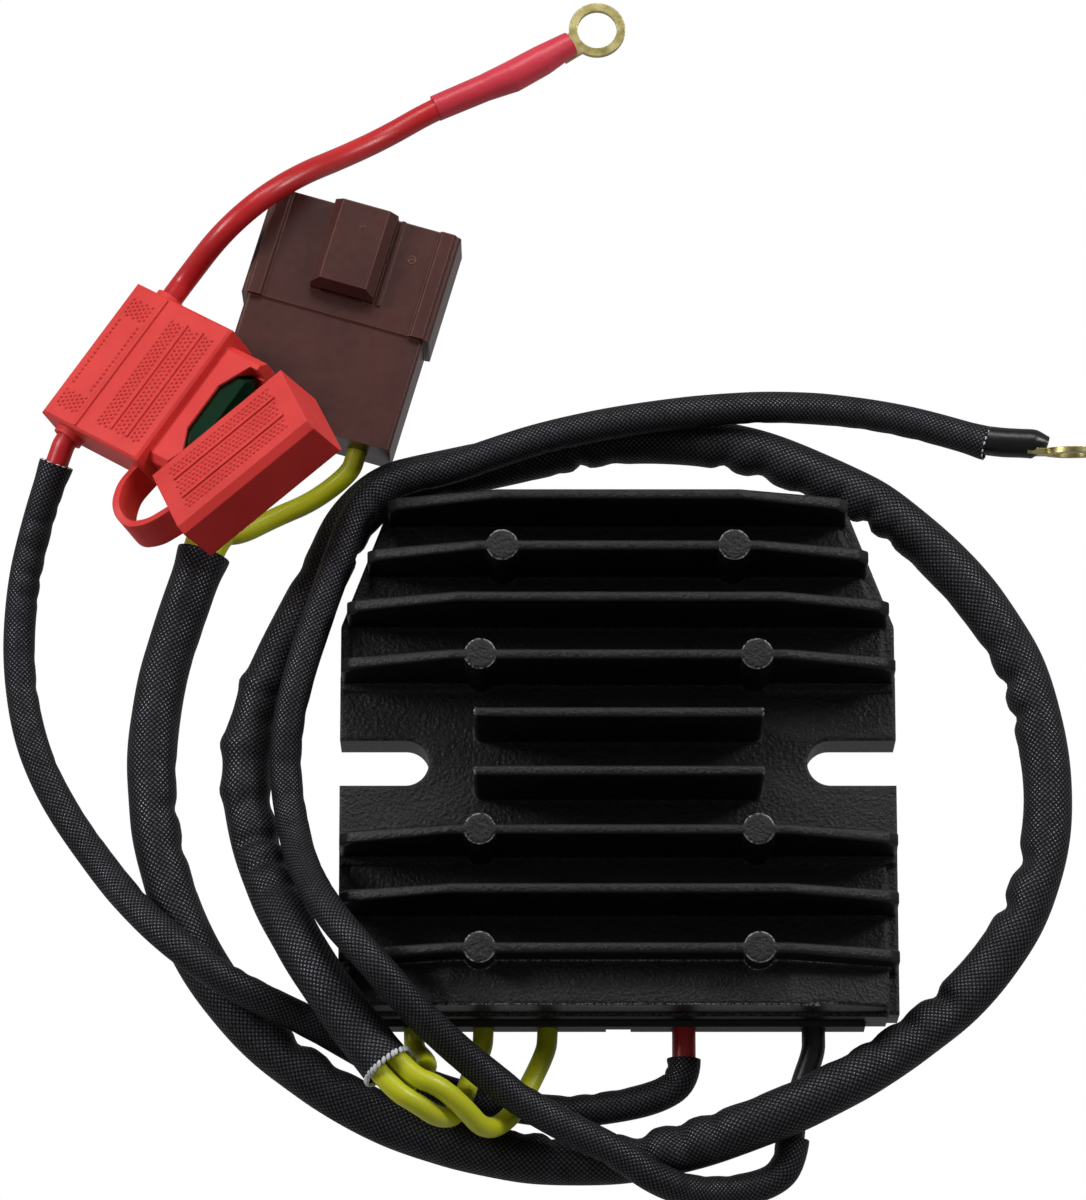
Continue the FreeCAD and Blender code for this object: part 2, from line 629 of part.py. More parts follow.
# Its cap lies open beside it, on the strap that joins the two
cap_frame = frame_at(cap_corner, cap_x, cap_y)
cap = box(0, cap_w, 0, cap_l, -cap_t, 0)
cap = cap.makeChamfer(cap_bevel, edges_along(cap, along_y, lambda e: e.CenterOfMass.x > 1))
cap_hollow = box(-1, cap_w - cap_wall, cap_wall, cap_l - cap_wall, cap_wall - cap_t, -cap_wall)
cap = fused(cap.cut(cap_hollow), [rib_on(x, cap_l / 2, panel_rib_l, 0) for x in cap_rib_x])

# The cap lies over one corner of the mouth, which stays clear of it
cap_space = box(-cap_clear, cap_w, -cap_clear, cap_l, -cap_t, cap_clear)
holder = placed(holder, holder_frame).cut(placed(cap_space, cap_frame))
strap_edges, strap_length, strap_radius = route_edges(strap_route)
strap_out = V(*strap_route[1]) - V(*strap_route[0])
strap_flat = strap_lean.cross(strap_out)
strap_frame = frame_at(V(*strap_route[0]), strap_flat, strap_out.cross(strap_flat))
corners = [(-1, -1), (1, -1), (1, 1), (-1, 1), (-1, -1)]
band = [strap_frame.multVec(V(x * strap_t / 2, y * strap_w / 2, 0)) for x, y in corners]
band = Part.makePolygon(band)
strap_pipe = Part.BRepOffsetAPI.MakePipeShell(Part.Wire(strap_edges))
strap_pipe.setBiNormalMode(strap_lean)
strap_pipe.add(band)
strap_pipe.build()
strap_pipe.makeSolid()
strap = strap_pipe.shape()
holder = fused(holder, [placed(cap, cap_frame), strap])
save("fuse_holder", holder)

# Wires on both sides of the holder
port_out = holder_frame.multVec(V(port_x, holder_l - wire_seat, port_z))
along = holder_frame.Rotation.multVec(along_y)
full = [tuple(port_out), tuple(port_out + along * port_run)] + battery_wire_route
shrink_in = V(*battery_shrink_stations[1][0])
full = full + [tuple(shrink_in)]
battery_wire = tube("battery_wire", full, battery_wire_d)
save("battery_wire", battery_wire)
port_in = holder_frame.multVec(V(port_x, wire_seat, port_z))
port_mouth = holder_frame.multVec(V(port_x, -port_l, port_z))
sleeve_end = V(*positive_sleeve_route[-1])
heading = (sleeve_end - V(*positive_sleeve_route[-2])).normalize()
full = [sleeve_end, sleeve_end + heading * end_run, port_mouth - along * port_gap, port_in]
save("positive_wire_end", tube("positive_wire_end", full, battery_wire_d))


def ring_terminal(place, towards, up):
    """A flat ring with a tongue and a crimp barrel, its barrel pointing as given."""
    frame = frame_at(place, towards, up.cross(towards))
    ring = Part.makeCylinder(ring_od / 2, ring_t)
    barrel_x = ring_od / 2 + tongue_l
    tongue = box(0, barrel_x + 1, -tongue_w / 2, tongue_w / 2, 0, ring_t)
    barrel = Part.makeCylinder(barrel_d / 2, barrel_l, V(barrel_x, 0, barrel_d / 2), V(1, 0, 0))
    whole = ring.fuse(tongue).fuse(barrel).removeSplitter()
    whole = whole.cut(Part.makeCylinder(ring_id / 2, 3 * ring_t, V(0, 0, -ring_t)))
    return placed(whole, frame)


def shrink(stations):
    """A shrunk tube through round sections of changing size."""
    rings = []
    for i, (at, r) in enumerate(stations):
        before, after = stations[max(i - 1, 0)][0], stations[min(i + 1, len(stations) - 1)][0]
        rings.append(Part.Wire(Part.makeCircle(r, V(*at), V(*after) - V(*before))))
    return Part.makeLoft(rings, True, True)


battery_dir = V(*battery_shrink_stations[-2][0]) - V(*battery_shrink_stations[-1][0])
battery_dir.z = 0
battery_ring = ring_terminal(battery_ring_place, battery_dir, V(0, 0, 1))
save("battery_ring_terminal", battery_ring)
save("battery_heat_shrink", shrink(battery_shrink_stations).cut(battery_ring).cut(battery_wire))

# Ground lead: black wire, thin sleeve, heat-shrink and a ring terminal that stands on its edge
ground_sleeve = tube("ground_sleeve", ground_sleeve_route, thin_sleeve_d)
save("ground_sleeve", ground_sleeve)
full = ground_wire_route + [tuple(ground_sleeve_route[0])]
save("ground_wire", tube("ground_wire", full, battery_wire_d))
ground_ring = ring_terminal(ground_ring_place, V(-1, 0, 0), ground_ring_up)
save("ground_ring_terminal", ground_ring)
save("ground_heat_shrink", shrink(ground_shrink_stations).cut(ground_ring).cut(ground_sleeve))
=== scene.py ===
import math
import random
import bmesh
import bpy
from mathutils import Matrix, Vector, noise


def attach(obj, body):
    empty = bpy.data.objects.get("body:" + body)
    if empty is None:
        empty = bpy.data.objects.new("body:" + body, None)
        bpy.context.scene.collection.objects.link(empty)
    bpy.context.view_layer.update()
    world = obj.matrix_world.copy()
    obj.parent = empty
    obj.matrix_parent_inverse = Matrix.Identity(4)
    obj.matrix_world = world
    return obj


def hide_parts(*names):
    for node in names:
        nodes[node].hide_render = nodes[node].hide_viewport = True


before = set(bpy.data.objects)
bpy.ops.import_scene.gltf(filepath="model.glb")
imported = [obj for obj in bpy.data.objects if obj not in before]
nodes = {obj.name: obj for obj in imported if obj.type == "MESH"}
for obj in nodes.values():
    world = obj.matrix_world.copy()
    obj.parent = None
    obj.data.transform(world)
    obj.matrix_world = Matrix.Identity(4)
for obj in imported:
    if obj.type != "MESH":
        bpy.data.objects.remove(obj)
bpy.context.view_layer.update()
scene = bpy.context.scene


# Camera: it looks down at 75 degrees from the side where the wires leave, through a long lens from about
# a metre away, as a product is photographed on a table.
def mm(x, y, z):
    """A point given in millimetres, in metres."""
    return Vector((x, y, z)) * 0.001


look_at = mm(-12.8, 31.2, 0.0)
camera_distance = 1.065
camera_elevation = math.radians(75.0)
camera_data = bpy.data.cameras.new("camera")
camera_data.sensor_width = 36.0
camera_data.lens = 184.2
camera_data.clip_start = 0.05
camera = bpy.data.objects.new("camera", camera_data)
away = Vector((0.0, -math.cos(camera_elevation), math.sin(camera_elevation)))
camera.location = look_at + away * camera_distance
camera.rotation_euler = (math.radians(90.0) - camera_elevation, 0.0, 0.0)
scene.collection.objects.link(camera)
scene.camera = camera


# Housing: die-cast aluminium, its fins, bosses and base in one casting. The black baked coating creeps into
# fine wrinkles as it cures, so level faces show a close grain with small glints. The grey lines on the
# fins' rounded tops are a painted highlight, light grey mixed into the coating's colour.
def linear(hex_colour):
    """An sRGB colour such as c9262a as the linear values that shaders use."""
    parts = [int(hex_colour[i:i + 2], 16) / 255 for i in (0, 2, 4)]
    return [p / 12.92 if p <= 0.04045 else ((p + 0.055) / 1.055) ** 2.4 for p in parts] + [1.0]


def add(tree, kind, inputs=None, out=0, **settings):
    """Adds a shader node and gives one of its outputs. An input is a value or another node's output."""
    node = tree.nodes.new("ShaderNode" + kind)
    for key, value in settings.items():
        setattr(node, key, value)
    for key, value in (inputs or {}).items():
        if isinstance(value, bpy.types.NodeSocket):
            tree.links.new(value, node.inputs[key])
        else:
            node.inputs[key].default_value = value
    return node.outputs[out]


def new_surface(name, **settings):
    """A new material, its tree, and its Principled shader with the settings."""
    material = bpy.data.materials.new(name)
    material.use_nodes = True
    tree = material.node_tree
    shader = tree.nodes["Principled BSDF"]
    for key, value in settings.items():
        shader.inputs[key.replace("_", " ")].default_value = value
    return material, tree, shader


def per_mm(size):
    """A texture's scale for features of a size in millimetres."""
    return 1000.0 / size


def dress(material, *names):
    """Gives CAD nodes the surface of the real piece."""
    for name in names:
        for slot in nodes[name].material_slots:
            slot.material = material


def baked_coating():
    """
    Black baked coating. Its wrinkles are 0.4 to 0.7 mm across, a little coarser than the real ones so that
    they show. They are deep on level faces and shallow on walls. Rounded edges get a painted highlight in
    light grey specks.
    """
    material, tree, shader = new_surface("baked_black_coating", IOR=1.4)
    place = add(tree, "TexCoord", out="Object")
    facing = add(tree, "NewGeometry", out="Normal")

    # The wrinkles, and how deep they are in metres.
    wall_depth = 0.00003
    level_extra = 0.00014
    grain = add(tree, "TexNoise", {"Vector": place, "Scale": per_mm(0.4), "Detail": 3.0, "Roughness": 0.6})
    cells = add(tree, "TexVoronoi", {"Vector": place, "Scale": per_mm(0.7)}, out="Distance")
    height = add(tree, "Math", {0: cells, 1: 0.6, 2: grain}, operation="MULTIPLY_ADD")
    up = add(tree, "SeparateXYZ", {"Vector": facing}, out="Z")
    level = add(tree, "MapRange", {"Value": up, "From Min": 0.80, "From Max": 0.97})
    depth = add(tree, "Math", {0: level, 1: level_extra, 2: wall_depth}, operation="MULTIPLY_ADD")

    # The black, which drifts in patches of 9 mm, and its gloss, which is higher on the grain's tops.
    patches = add(tree, "TexNoise", {"Vector": place, "Scale": per_mm(9.0), "Detail": 3.0})
    shade = add(tree, "MapRange", {"Value": patches, "From Min": 0.3, "From Max": 0.7})
    colours = {"Factor": shade, 6: linear("0e0e10"), 7: linear("19191c")}
    black = add(tree, "Mix", colours, out=2, data_type="RGBA")
    shine = {"Value": grain, "From Min": 0.3, "From Max": 0.7, "To Min": 0.52, "To Max": 0.32}
    gloss = add(tree, "MapRange", shine)

    # The painted highlight: light grey specks painted where the rounded surface turns away from the flat
    # one, mostly on the fins' tops, which are the faces above 16.5 to 17.5 mm.
    rounded = add(tree, "Bevel", {"Radius": 0.0012}, samples=8)
    turned = add(tree, "VectorMath", {0: rounded, 1: facing}, out="Value", operation="DOT_PRODUCT")
    edge = add(tree, "MapRange", {"Value": turned, "From Min": 0.88, "From Max": 0.78})
    speck = add(tree, "MapRange", {"Value": grain, "From Min": 0.42, "From Max": 0.6})
    uneven_highlight = add(tree, "Math", {0: edge, 1: speck}, operation="MULTIPLY")
    above_floor = add(tree, "SeparateXYZ", {"Vector": add(tree, "NewGeometry", out="Position")}, out="Z")
    raised = {"Value": above_floor, "From Min": 0.0165, "From Max": 0.0175, "To Min": 0.15}
    uneven_highlight = add(tree, "Math", {0: uneven_highlight, 1: add(tree, "MapRange", raised)}, operation="MULTIPLY")
    colour = add(tree, "Mix", {"Factor": uneven_highlight, 6: black, 7: linear("c4c4cc")}, out=2, data_type="RGBA")

    bump = add(tree, "Bump", {"Height": height, "Distance": depth, "Normal": rounded, "Strength": 1.0})
    tree.links.new(colour, shader.inputs["Base Color"])
    tree.links.new(gloss, shader.inputs["Roughness"])
    tree.links.new(bump, shader.inputs["Normal"])
    return material


dress(baked_coating(), "heatsink_housing")


# Wire guide and potting: a strip of glass-filled nylon closes the pocket on the wire side and spaces the
# five wires, and black epoxy poured from behind seals the circuit. The nylon is dull with the mould's faint
# grain, and the epoxy has set smooth, with slow waves.
def moulded(name, low, high, roughness, edge=0.2, grain=0.8, depth=0.015, **settings):
    """
    Moulded or cured polymer: its colour drifts between two hex values and its gloss around a roughness. It
    has a fine grain and rounded edges; the edge's radius and the grain's size and depth are in millimetres.
    """
    material, tree, shader = new_surface(name, **settings)
    place = add(tree, "TexCoord", out="Object")
    drift = add(tree, "TexNoise", {"Vector": place, "Scale": per_mm(6.0 * grain), "Detail": 3.0})
    fine = add(tree, "TexNoise", {"Vector": place, "Scale": per_mm(grain), "Detail": 4.0})
    shade = add(tree, "MapRange", {"Value": drift, "From Min": 0.3, "From Max": 0.7})
    colour = add(tree, "Mix", {"Factor": shade, 6: linear(low), 7: linear(high)}, out=2, data_type="RGBA")
    gloss = add(tree, "MapRange", {"Value": fine, "To Min": roughness - 0.07, "To Max": roughness + 0.07})
    rounded = add(tree, "Bevel", {"Radius": edge * 0.001}, samples=4)
    relief = {"Height": fine, "Distance": depth * 0.001, "Normal": rounded, "Strength": 0.6}
    bump = add(tree, "Bump", relief)
    tree.links.new(colour, shader.inputs["Base Color"])
    tree.links.new(gloss, shader.inputs["Roughness"])
    tree.links.new(bump, shader.inputs["Normal"])
    return material


dress(moulded("glass_filled_nylon", "1f1d1b", "2c2926", 0.55, depth=0.03), "wire_guide")
dress(moulded("cured_epoxy", "121213", "1c1c1d", 0.28, edge=0.4, grain=2.5, depth=0.06), "potting_compound")


# Circuit inside the pocket: a soft grey silicone pad carries six black moulded power devices, and a green
# board holds a capacitor and a control chip. The potting fixes and hides them all.
dress(moulded("silicone_pad", "8d9296", "9ba0a3", 0.75), "thermal_pad")
dress(moulded("solder_mask", "0d3a1e", "134a28", 0.35), "circuit_board")
dress(moulded("device_epoxy", "151516", "1e1e1f", 0.5), "smoothing_capacitor", "control_chip",
      *["power_device_" + str(i + 1) for i in range(6)])


# Stator wires: three copper wires in soft yellow PVC, 3.5 mm thick. They leave the guide, rise over the
# leads that lie on the floor and enter the thick sleeve side by side. Their soft skin has a satin gloss.
def smooth_line(points):
    """The points of the NURBS spline that has a route in millimetres as its control points, in metres."""
    curve = bpy.data.curves.new("route", "CURVE")
    curve.dimensions = "3D"
    curve.resolution_u = 16
    spline = curve.splines.new("NURBS")
    spline.points.add(len(points) - 1)
    for target, point in zip(spline.points, points):
        target.co = (*mm(*point), 1.0)
    spline.order_u = 3
    spline.use_endpoint_u = True
    holder = bpy.data.objects.new("route", curve)
    scene.collection.objects.link(holder)
    mesh = bpy.data.meshes.new_from_object(holder)
    line = [v.co.copy() for v in mesh.vertices]
    bpy.data.objects.remove(holder)
    bpy.data.curves.remove(curve)
    bpy.data.meshes.remove(mesh)
    return line


def evenly(line, step):
    """The same line with points an even step apart, in metres."""
    lengths = [0.0]
    for a, b in zip(line, line[1:]):
        lengths.append(lengths[-1] + (b - a).length)
    count = max(2, round(lengths[-1] / step))
    out, i = [], 0
    for k in range(count + 1):
        along = lengths[-1] * k / count
        while i < len(line) - 2 and lengths[i + 1] < along:
            i += 1
        span = max(lengths[i + 1] - lengths[i], 1e-9)
        out.append(line[i].lerp(line[i + 1], min(1.0, (along - lengths[i]) / span)))
    return out


def new_piece(name, mesh, material):
    """Puts a mesh into the scene as a piece of the part, with its material and slot."""
    mesh.materials.append(material)
    piece = bpy.data.objects.new(name, mesh)
    scene.collection.objects.link(piece)
    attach(piece, "root")
    return piece


def tube(name, route, diameter, material, step=0.8, sides=24, shape=None, mouth=0.0):
    """
    A round piece along a route, all in millimetres, and its centre line in metres. The shape gives each
    point's share of the radius, and a mouth is the depth to which both ends are open, with a thin wall.
    """
    line = evenly(smooth_line(route), step * 0.001)
    last = len(line) - 1

    # Rings around the line. The bend, in 1/mm, is measured over 4 mm to each side of a point.
    reach = max(1, round(4.0 / step))
    side = None
    rings = []
    for k, point in enumerate(line):
        heading = (line[min(k + 1, last)] - line[max(k - 1, 0)]).normalized()
        side = heading.cross(Vector((0, 0, 1))) if side is None else side
        side = (side - heading * side.dot(heading)).normalized()
        up = heading.cross(side)
        before, after = max(k - reach, 0), min(k + reach, last)
        bend = (line[after] + line[before] - 2 * point) * 1000 / (step * reach) ** 2
        ring = []
        for i in range(sides):
            turn = 2 * math.pi * i / sides
            out = side * math.cos(turn) + up * math.sin(turn)
            share = shape(k * step, (last - k) * step, out, bend, point * 1000) if shape else 1.0
            spot = point + out * (diameter / 2 * 0.001 * share)
            ring.append(Vector((spot.x, spot.y, max(spot.z, 0.0))))
        rings.append((k * step, point, ring))

    # Open mouths: smaller rings lead from each rim back inside.
    if mouth:
        wall = 0.3 * 0.001
        deep = round(mouth / step)
        lips = []
        for k in (deep, 0, last, last - deep):
            along, point, ring = rings[k]
            lips.append((along, point, [spot + (point - spot).normalized() * wall for spot in ring]))
        rings = lips[:2] + rings + lips[2:]

    # Faces between the rings. The map's U goes once around, and its V is the way along in millimetres.
    vertices = [spot for along, point, ring in rings for spot in ring]
    faces, places = [], []
    for k in range(len(rings) - 1):
        v0, v1 = rings[k][0], rings[k + 1][0]
        for i in range(sides):
            j = (i + 1) % sides
            faces.append((k * sides + i, k * sides + j, (k + 1) * sides + j, (k + 1) * sides + i))
            places += [(i / sides, v0), ((i + 1) / sides, v0), ((i + 1) / sides, v1), (i / sides, v1)]
    for end in (range(sides - 1, -1, -1), range((len(rings) - 1) * sides, len(rings) * sides)):
        faces.append(tuple(end))
        places += [(0.0, 0.0)] * sides
    mesh = bpy.data.meshes.new(name)
    mesh.from_pydata(vertices, [], faces)
    layer = mesh.uv_layers.new(name="UVMap")
    for loop, uv in zip(layer.data, places):
        loop.uv = uv
    mesh.polygons.foreach_set("use_smooth", [True] * len(faces))
    mesh.set_sharp_from_angle(angle=math.radians(50.0))
    return new_piece(name, mesh, material), line


# In millimetres: the wires' diameter, the gap between them in the bundle, how far they run side by side
# outside the sleeve, and how far they reach into it.
STATOR_WIRE_D = 3.5
BUNDLE_GAP = 0.2
BUNDLE_LEAD = 4.0
INTO_MOUTH = 3.6


def bundled(sleeve_route, turn):
    """Where one of three wires meets the end of their sleeve, and the way into it, in millimetres."""
    spacing = (STATOR_WIRE_D + BUNDLE_GAP) / math.sqrt(3)
    inwards = (Vector(sleeve_route[1]) - Vector(sleeve_route[0])).normalized()
    across = Vector((0, 0, 1)).cross(inwards).normalized()
    up = inwards.cross(across)
    angle = math.radians(turn)
    return Vector(sleeve_route[0]) + spacing * (across * math.cos(angle) + up * math.sin(angle)), inwards


STATOR_SLEEVE = [
    (-38.7, -54.8, 20.8), (-43.9, -48.2, 19.8), (-49.2, -40.9, 19.8), (-54.2, -32.3, 16.0),
    (-58.8, -22.4, 8.5), (-62.4, -11.6, 4.5), (-64.1, -1.5, 4.25), (-62.8, 8.4, 4.25),
    (-59.5, 17.2, 4.25), (-54.9, 26.3, 4.25), (-50.6, 34.6, 4.25), (-46.7, 43.6, 4.25),
    (-40.7, 50.0, 4.25), (-31.8, 52.4, 4.25), (-22.8, 54.2, 4.25), (-13.8, 56.2, 4.25),
    (-4.5, 58.2, 4.25), (5.5, 59.2, 4.25), (15.4, 58.5, 4.25), (25.3, 56.2, 4.25),
    (36.3, 51.8, 4.25), (47.9, 45.3, 4.25), (58.5, 35.4, 4.25), (66.9, 24.0, 4.25),
    (72.1, 11.0, 4.25), (74.1, -3.6, 4.25), (72.6, -16.8, 4.25), (67.4, -29.0, 4.25),
    (58.9, -39.9, 4.25), (47.6, -49.2, 6.0), (36.3, -56.5, 9.3), (24.5, -61.9, 9.3),
    (13.6, -65.1, 6.0), (2.7, -67.4, 4.25), (-9.9, -68.0, 4.25), (-23.4, -66.3, 4.25),
    (-36.9, -62.1, 4.25), (-49.7, -55.4, 4.25), (-61.1, -46.6, 4.25), (-70.3, -35.4, 4.25),
    (-76.1, -22.9, 4.25), (-79.2, -10.7, 4.25), (-80.2, 2.5, 4.25), (-78.7, 14.9, 4.25),
    (-75.4, 26.5, 4.25), (-71.6, 38.3, 4.25),
]
STATOR_WIRES = [
    [(-34.7, -41.5, 2.75), (-34.7, -46.6, 2.75), (-34.5, -48.8, 3.3), (-32.6, -51.4, 8.0),
     (-32.2, -53.6, 12.6), (-34.2, -55.4, 16.0)],
    [(-22.9, -41.5, 2.75), (-22.9, -46.6, 2.75), (-23.2, -48.6, 3.2), (-24.5, -52.4, 6.0),
     (-26.1, -58.0, 9.5), (-27.5, -62.0, 13.5), (-30.4, -62.9, 17.8), (-33.8, -61.0, 20.8)],
    [(-12.0, -41.5, 2.75), (-12.0, -46.6, 2.75), (-12.4, -49.2, 3.4), (-15.3, -55.9, 6.6),
     (-18.2, -61.5, 9.5), (-22.4, -64.6, 13.5), (-26.2, -61.0, 18.2), (-30.2, -58.0, 21.2)],
]
STATOR_TURNS = (270, 30, 150)
yellow_skin = moulded("yellow_insulation", "b9bd1a", "c8cb22", 0.36, grain=2.0, Subsurface_Weight=0.08,
                      Subsurface_Scale=0.001)
for i, route in enumerate(STATOR_WIRES):
    end, inwards = bundled(STATOR_SLEEVE, STATOR_TURNS[i])
    route = route + [tuple(end - inwards * BUNDLE_LEAD), tuple(end + inwards * INTO_MOUTH)]
    name = "stator_wire_" + str(i + 1)
    wire, wire_line = tube(name + "_insulation", route, STATOR_WIRE_D, yellow_skin,
                           step=0.5)
    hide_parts(name)


# Thick sleeve: a tube braided from black polyester filament over the three stator wires. The strands' shiny
# crossings are about 0.7 mm apart. The braid buckles into folds on the inside of a bend, and its cut end
# beside the housing is bound with silver thread.
def braided_filament(name, strands, pitch):
    """Black braid on a tube's map: strands around it, and a pitch in millimetres along it."""
    material, tree, shader = new_surface(name, IOR=1.3)
    place = add(tree, "TexCoord", out="Object")

    # Two sets of strands lie across each other. Each strand is a hump that dips under the other set.
    u = add(tree, "SeparateXYZ", {"Vector": add(tree, "UVMap", uv_map="UVMap")}, out="X")
    around = add(tree, "Math", {0: u, 1: float(strands)}, operation="MULTIPLY")
    along = add(tree, "Math", {0: u.node.outputs["Y"], 1: 1.0 / pitch}, operation="MULTIPLY")
    lays = [add(tree, "Math", {0: around, 1: along}, operation=way) for way in ("ADD", "SUBTRACT")]
    humps, counts = [], []
    for lay in lays:
        wave = add(tree, "Math", {0: lay, 1: math.pi}, operation="MULTIPLY")
        wave = add(tree, "Math", {0: wave}, operation="SINE")
        humps.append(add(tree, "Math", {0: wave}, operation="ABSOLUTE"))
        counts.append(add(tree, "Math", {0: lay}, operation="FLOOR"))
    dips = [add(tree, "Math", {0: hump, 1: 0.5, 2: 0.5}, operation="MULTIPLY_ADD") for hump in humps]
    tops = [add(tree, "Math", {0: humps[a], 1: dips[1 - a]}, operation="MULTIPLY") for a in (0, 1)]

    # The set on top changes from one crossing to the next, as on a chessboard.
    cell = add(tree, "Math", {0: counts[0], 1: counts[1]}, operation="ADD")
    cell = add(tree, "Math", {0: cell, 1: 0.5}, operation="MULTIPLY")
    cell = add(tree, "Math", {0: cell}, operation="FRACT")
    over = add(tree, "Math", {0: cell, 1: 0.25}, operation="GREATER_THAN")
    height = add(tree, "Mix", {"Factor": over, "A": tops[0], "B": tops[1]}, data_type="FLOAT")

    # The strands' tops are painted light grey in uneven patches as a painted highlight, and are partly
    # metallic so that they mirror the lamps; the dips stay dull and black.
    uneven_highlight = add(tree, "TexNoise", {"Vector": place, "Scale": per_mm(2.5), "Detail": 4.0})
    uneven_highlight = add(tree, "MapRange", {"Value": uneven_highlight, "To Min": 0.36, "To Max": 0.66})
    lit = add(tree, "Math", {0: height, 1: uneven_highlight}, operation="MULTIPLY")
    lit = add(tree, "MapRange", {"Value": lit, "From Min": 0.26, "From Max": 0.58})
    mirror = add(tree, "Math", {0: lit, 1: 0.9}, operation="MULTIPLY")
    colours = {"Factor": lit, 6: linear("030304"), 7: linear("5e5e66")}
    colour = add(tree, "Mix", colours, out=2, data_type="RGBA")
    gloss = add(tree, "MapRange", {"Value": lit, "To Min": 0.6, "To Max": 0.2})
    bump = add(tree, "Bump", {"Height": height, "Distance": 0.00011, "Strength": 1.0})
    tree.links.new(colour, shader.inputs["Base Color"])
    tree.links.new(gloss, shader.inputs["Roughness"])
    tree.links.new(mirror, shader.inputs["Metallic"])
    tree.links.new(bump, shader.inputs["Normal"])
    return material


def folds(spacing, depth, lumps, flare_start, flare_end, kinks=()):
    """
    A sleeve's shape: folds on the inside of its bends, soft lumps, kinks at places and wider cut ends. The
    spacing is in millimetres, and the depth, lumps and flares are shares of the radius.
    """
    full_fold_bend = 70.0
    flare_reach = 2.5
    lump_size = 11.0

    def share(along, left, out, bend, point):
        """The radius's share; folds are full where the sleeve bends to a radius under 70 mm."""
        inside = min(1.0, max(0.0, out.dot(bend) * full_fold_bend))
        phase = along / spacing + 0.9 * noise.noise(Vector((along / (2.5 * spacing), spacing, 0.0)))
        fold = (0.5 + 0.5 * math.cos(2 * math.pi * phase)) ** 2
        uneven = noise.noise(Vector((0.0, along / (2.2 * spacing), spacing)))
        size = min(1.4, max(0.0, 0.45 + 1.6 * uneven))
        lump = noise.noise(point / lump_size + out * 0.9)
        value = 1.0 - depth * size * inside * fold + lumps * lump
        value += flare_start * math.exp(-(along / flare_reach) ** 2)
        value += flare_end * math.exp(-(left / flare_reach) ** 2)
        for place, width, rise in kinks:
            away = (point - Vector(place)).length / width
            if away < 3.0:
                value += rise * math.exp(-away * away) * (0.6 - 0.4 * out.dot(bend.normalized()))
        return value
    return share


def bound_rim(name, place, heading, radius, count, stitch, slant, material):
    """
    Stitches of thread around the cut end of a sleeve, in millimetres. A stitch has a length and a width,
    and leans by a slant in degrees, a few degrees more or less.
    """
    heading = Vector(heading).normalized()
    side = heading.cross(Vector((0, 0, 1))).normalized()
    up = heading.cross(side)
    rim = bmesh.new()
    for i in range(count):
        turn = 2 * math.pi * (i + 0.3 * random.random()) / count
        out = side * math.cos(turn) + up * math.sin(turn)
        round_way = heading.cross(out)
        lean = math.radians(slant + 14.0 * (random.random() - 0.5))
        long_way = round_way * math.cos(lean) + heading * math.sin(lean)
        wide_way = out.cross(long_way)
        turned = Matrix((long_way, wide_way, out)).transposed().to_4x4()
        size = Matrix.Diagonal((stitch[0], stitch[1], stitch[1], 1.0))
        at = Matrix.Translation(Vector(place) + out * radius)
        scale = Matrix.Scale(0.001, 4)
        bmesh.ops.create_icosphere(rim, subdivisions=2, radius=0.5, matrix=scale @ at @ turned @ size)
    mesh = bpy.data.meshes.new(name)
    rim.to_mesh(mesh)
    rim.free()
    mesh.polygons.foreach_set("use_smooth", [True] * len(mesh.polygons))
    return new_piece(name, mesh, material)


random.seed(11)
STATOR_SLEEVE_D = 8.5
# Kinks beside the housing: a place, a width in millimetres and a rise as a share of the radius.
SLEEVE_KINKS = [
    ((-60.8, 14.2, 4.25), 1.4, 0.15), ((-63.3, 3.9, 4.25), 1.5, 0.15), ((-64.0, -3.6, 4.25), 1.5, 0.12),
    ((-62.2, 9.2, 4.25), 2.2, -0.06), ((-63.8, 0.2, 4.25), 2.0, -0.04),
]
silver_thread = moulded("silver_thread", "a9abae", "e2e3e4", 0.4, grain=0.4)
thick_braid = braided_filament("thick_braid", strands=28, pitch=0.94)
thick_folds = folds(spacing=7.5, depth=0.24, lumps=0.05, flare_start=0.03, flare_end=0.10,
                    kinks=SLEEVE_KINKS)
sleeve, sleeve_line = tube("stator_sleeve_braid", STATOR_SLEEVE, STATOR_SLEEVE_D, thick_braid,
                           sides=40, shape=thick_folds, mouth=3.0)
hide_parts("stator_sleeve")
rim_heading = Vector(STATOR_SLEEVE[1]) - Vector(STATOR_SLEEVE[0])
sleeve_rim = bound_rim("stator_sleeve_rim", STATOR_SLEEVE[0], rim_heading, radius=4.45, count=30,
                       stitch=(1.45, 0.75), slant=48.0, material=silver_thread)


